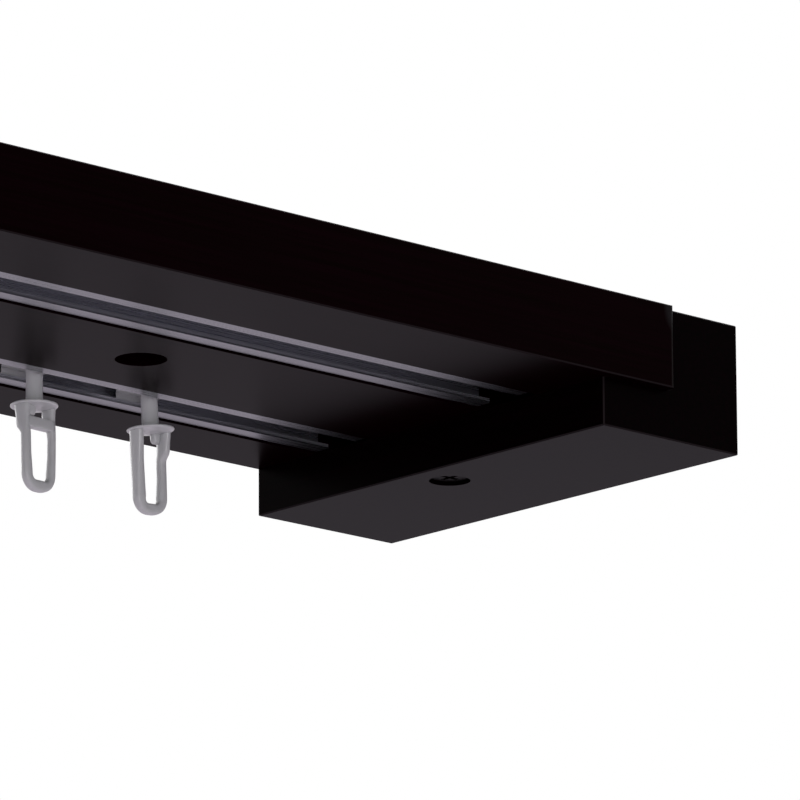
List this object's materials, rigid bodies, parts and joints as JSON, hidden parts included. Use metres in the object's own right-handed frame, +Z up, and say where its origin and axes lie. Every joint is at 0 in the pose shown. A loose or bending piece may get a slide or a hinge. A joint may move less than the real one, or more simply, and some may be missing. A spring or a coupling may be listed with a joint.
{
  "type": "double curtain track",
  "caption": "Lacquered board with two aluminium channels let into its underside, a half-lapped block at each end, and gliders whose swivelling eyes carry curtain hooks.",
  "frame": {"origin": "centre of the board's ceiling face", "axes": "+X along the track towards the end in the picture, +Y from the front edge towards the wall, +Z up towards the ceiling"},
  "size_m": [1, 0.112, 0.0419],
  "materials": {
    "lacquered_board": "gloss lacquer",
    "lacquered_block": "gloss lacquer",
    "anodised_aluminium": "satin anodised extrusion",
    "blackened_steel": "black oxide",
    "zinc_plated_steel": "zinc plated",
    "runner_acetal": "moulded acetal",
    "eye_acetal": "moulded acetal"
  },
  "bodies": {
    "rail": {"board": "lacquered_board", "right_end_block": "lacquered_block", "left_end_block": "lacquered_block", "front_track": "anodised_aluminium", "rear_track": "anodised_aluminium", "block_screws": "blackened_steel", "front_track_screws": "zinc_plated_steel", "rear_track_screws": "zinc_plated_steel"},
    "front_runner_1": {"front_runner_1": "runner_acetal"},
    "front_eye_1": {"front_eye_1": "eye_acetal"},
    "front_runner_2": {"front_runner_2": "runner_acetal"},
    "front_eye_2": {"front_eye_2": "eye_acetal"},
    "front_runner_3": {"front_runner_3": "runner_acetal"},
    "front_eye_3": {"front_eye_3": "eye_acetal"},
    "front_runner_4": {"front_runner_4": "runner_acetal"},
    "front_eye_4": {"front_eye_4": "eye_acetal"},
    "front_runner_5": {"front_runner_5": "runner_acetal"},
    "front_eye_5": {"front_eye_5": "eye_acetal"},
    "front_runner_6": {"front_runner_6": "runner_acetal"},
    "front_eye_6": {"front_eye_6": "eye_acetal"},
    "front_runner_7": {"front_runner_7": "runner_acetal"},
    "front_eye_7": {"front_eye_7": "eye_acetal"},
    "rear_runner_1": {"rear_runner_1": "runner_acetal"},
    "rear_eye_1": {"rear_eye_1": "eye_acetal"},
    "rear_runner_2": {"rear_runner_2": "runner_acetal"},
    "rear_eye_2": {"rear_eye_2": "eye_acetal"},
    "rear_runner_3": {"rear_runner_3": "runner_acetal"},
    "rear_eye_3": {"rear_eye_3": "eye_acetal"},
    "rear_runner_4": {"rear_runner_4": "runner_acetal"},
    "rear_eye_4": {"rear_eye_4": "eye_acetal"},
    "rear_runner_5": {"rear_runner_5": "runner_acetal"},
    "rear_eye_5": {"rear_eye_5": "eye_acetal"},
    "rear_runner_6": {"rear_runner_6": "runner_acetal"},
    "rear_eye_6": {"rear_eye_6": "eye_acetal"},
    "rear_runner_7": {"rear_runner_7": "runner_acetal"},
    "rear_eye_7": {"rear_eye_7": "eye_acetal"}
  },
  "joints": [
    {"name": "front_slide_1", "type": "slide", "parent": "rail", "child": "front_runner_1", "axis": [1, 0, 0], "range_m": [-0.0539, 0.1527]},
    {"name": "front_swivel_1", "type": "hinge", "parent": "front_runner_1", "child": "front_eye_1", "pos_m": [0.3001, -0.0238, -0.02], "axis": [0, 0, 1], "continuous": true},
    {"name": "front_slide_2", "type": "slide", "parent": "rail", "child": "front_runner_2", "axis": [1, 0, 0], "range_m": [-0.0539, 0.0539]},
    {"name": "front_swivel_2", "type": "hinge", "parent": "front_runner_2", "child": "front_eye_2", "pos_m": [0.1801, -0.0238, -0.02], "axis": [0, 0, 1], "continuous": true},
    {"name": "front_slide_3", "type": "slide", "parent": "rail", "child": "front_runner_3", "axis": [1, 0, 0], "range_m": [-0.0539, 0.0539]},
    {"name": "front_swivel_3", "type": "hinge", "parent": "front_runner_3", "child": "front_eye_3", "pos_m": [0.0601, -0.0238, -0.02], "axis": [0, 0, 1], "continuous": true},
    {"name": "front_slide_4", "type": "slide", "parent": "rail", "child": "front_runner_4", "axis": [1, 0, 0], "range_m": [-0.0539, 0.0539]},
    {"name": "front_swivel_4", "type": "hinge", "parent": "front_runner_4", "child": "front_eye_4", "pos_m": [-0.0599, -0.0238, -0.02], "axis": [0, 0, 1], "continuous": true},
    {"name": "front_slide_5", "type": "slide", "parent": "rail", "child": "front_runner_5", "axis": [1, 0, 0], "range_m": [-0.0539, 0.0539]},
    {"name": "front_swivel_5", "type": "hinge", "parent": "front_runner_5", "child": "front_eye_5", "pos_m": [-0.1799, -0.0238, -0.02], "axis": [0, 0, 1], "continuous": true},
    {"name": "front_slide_6", "type": "slide", "parent": "rail", "child": "front_runner_6", "axis": [1, 0, 0], "range_m": [-0.0539, 0.0539]},
    {"name": "front_swivel_6", "type": "hinge", "parent": "front_runner_6", "child": "front_eye_6", "pos_m": [-0.2999, -0.0238, -0.02], "axis": [0, 0, 1], "continuous": true},
    {"name": "front_slide_7", "type": "slide", "parent": "rail", "child": "front_runner_7", "axis": [1, 0, 0], "range_m": [-0.0341, 0.0539]},
    {"name": "front_swivel_7", "type": "hinge", "parent": "front_runner_7", "child": "front_eye_7", "pos_m": [-0.4199, -0.0238, -0.02], "axis": [0, 0, 1], "continuous": true},
    {"name": "rear_slide_1", "type": "slide", "parent": "rail", "child": "rear_runner_1", "axis": [1, 0, 0], "range_m": [-0.0098, 0.0492]},
    {"name": "rear_swivel_1", "type": "hinge", "parent": "rear_runner_1", "child": "rear_eye_1", "pos_m": [0.4048, 0.0286, -0.02], "axis": [0, 0, 1], "continuous": true},
    {"name": "rear_slide_2", "type": "slide", "parent": "rail", "child": "rear_runner_2", "axis": [1, 0, 0], "range_m": [-0.0689, 0.0098]},
    {"name": "rear_swivel_2", "type": "hinge", "parent": "rear_runner_2", "child": "rear_eye_2", "pos_m": [0.373, 0.0286, -0.02], "axis": [0, 0, 1], "continuous": true},
    {"name": "rear_slide_3", "type": "slide", "parent": "rail", "child": "rear_runner_3", "axis": [1, 0, 0], "range_m": [-0.0689, 0.0689]},
    {"name": "rear_swivel_3", "type": "hinge", "parent": "rear_runner_3", "child": "rear_eye_3", "pos_m": [0.223, 0.0286, -0.02], "axis": [0, 0, 1], "continuous": true},
    {"name": "rear_slide_4", "type": "slide", "parent": "rail", "child": "rear_runner_4", "axis": [1, 0, 0], "range_m": [-0.0689, 0.0689]},
    {"name": "rear_swivel_4", "type": "hinge", "parent": "rear_runner_4", "child": "rear_eye_4", "pos_m": [0.073, 0.0286, -0.02], "axis": [0, 0, 1], "continuous": true},
    {"name": "rear_slide_5", "type": "slide", "parent": "rail", "child": "rear_runner_5", "axis": [1, 0, 0], "range_m": [-0.0689, 0.0689]},
    {"name": "rear_swivel_5", "type": "hinge", "parent": "rear_runner_5", "child": "rear_eye_5", "pos_m": [-0.077, 0.0286, -0.02], "axis": [0, 0, 1], "continuous": true},
    {"name": "rear_slide_6", "type": "slide", "parent": "rail", "child": "rear_runner_6", "axis": [1, 0, 0], "range_m": [-0.0689, 0.0689]},
    {"name": "rear_swivel_6", "type": "hinge", "parent": "rear_runner_6", "child": "rear_eye_6", "pos_m": [-0.227, 0.0286, -0.02], "axis": [0, 0, 1], "continuous": true},
    {"name": "rear_slide_7", "type": "slide", "parent": "rail", "child": "rear_runner_7", "axis": [1, 0, 0], "range_m": [-0.077, 0.0689]},
    {"name": "rear_swivel_7", "type": "hinge", "parent": "rear_runner_7", "child": "rear_eye_7", "pos_m": [-0.377, 0.0286, -0.02], "axis": [0, 0, 1], "continuous": true}
  ]
}
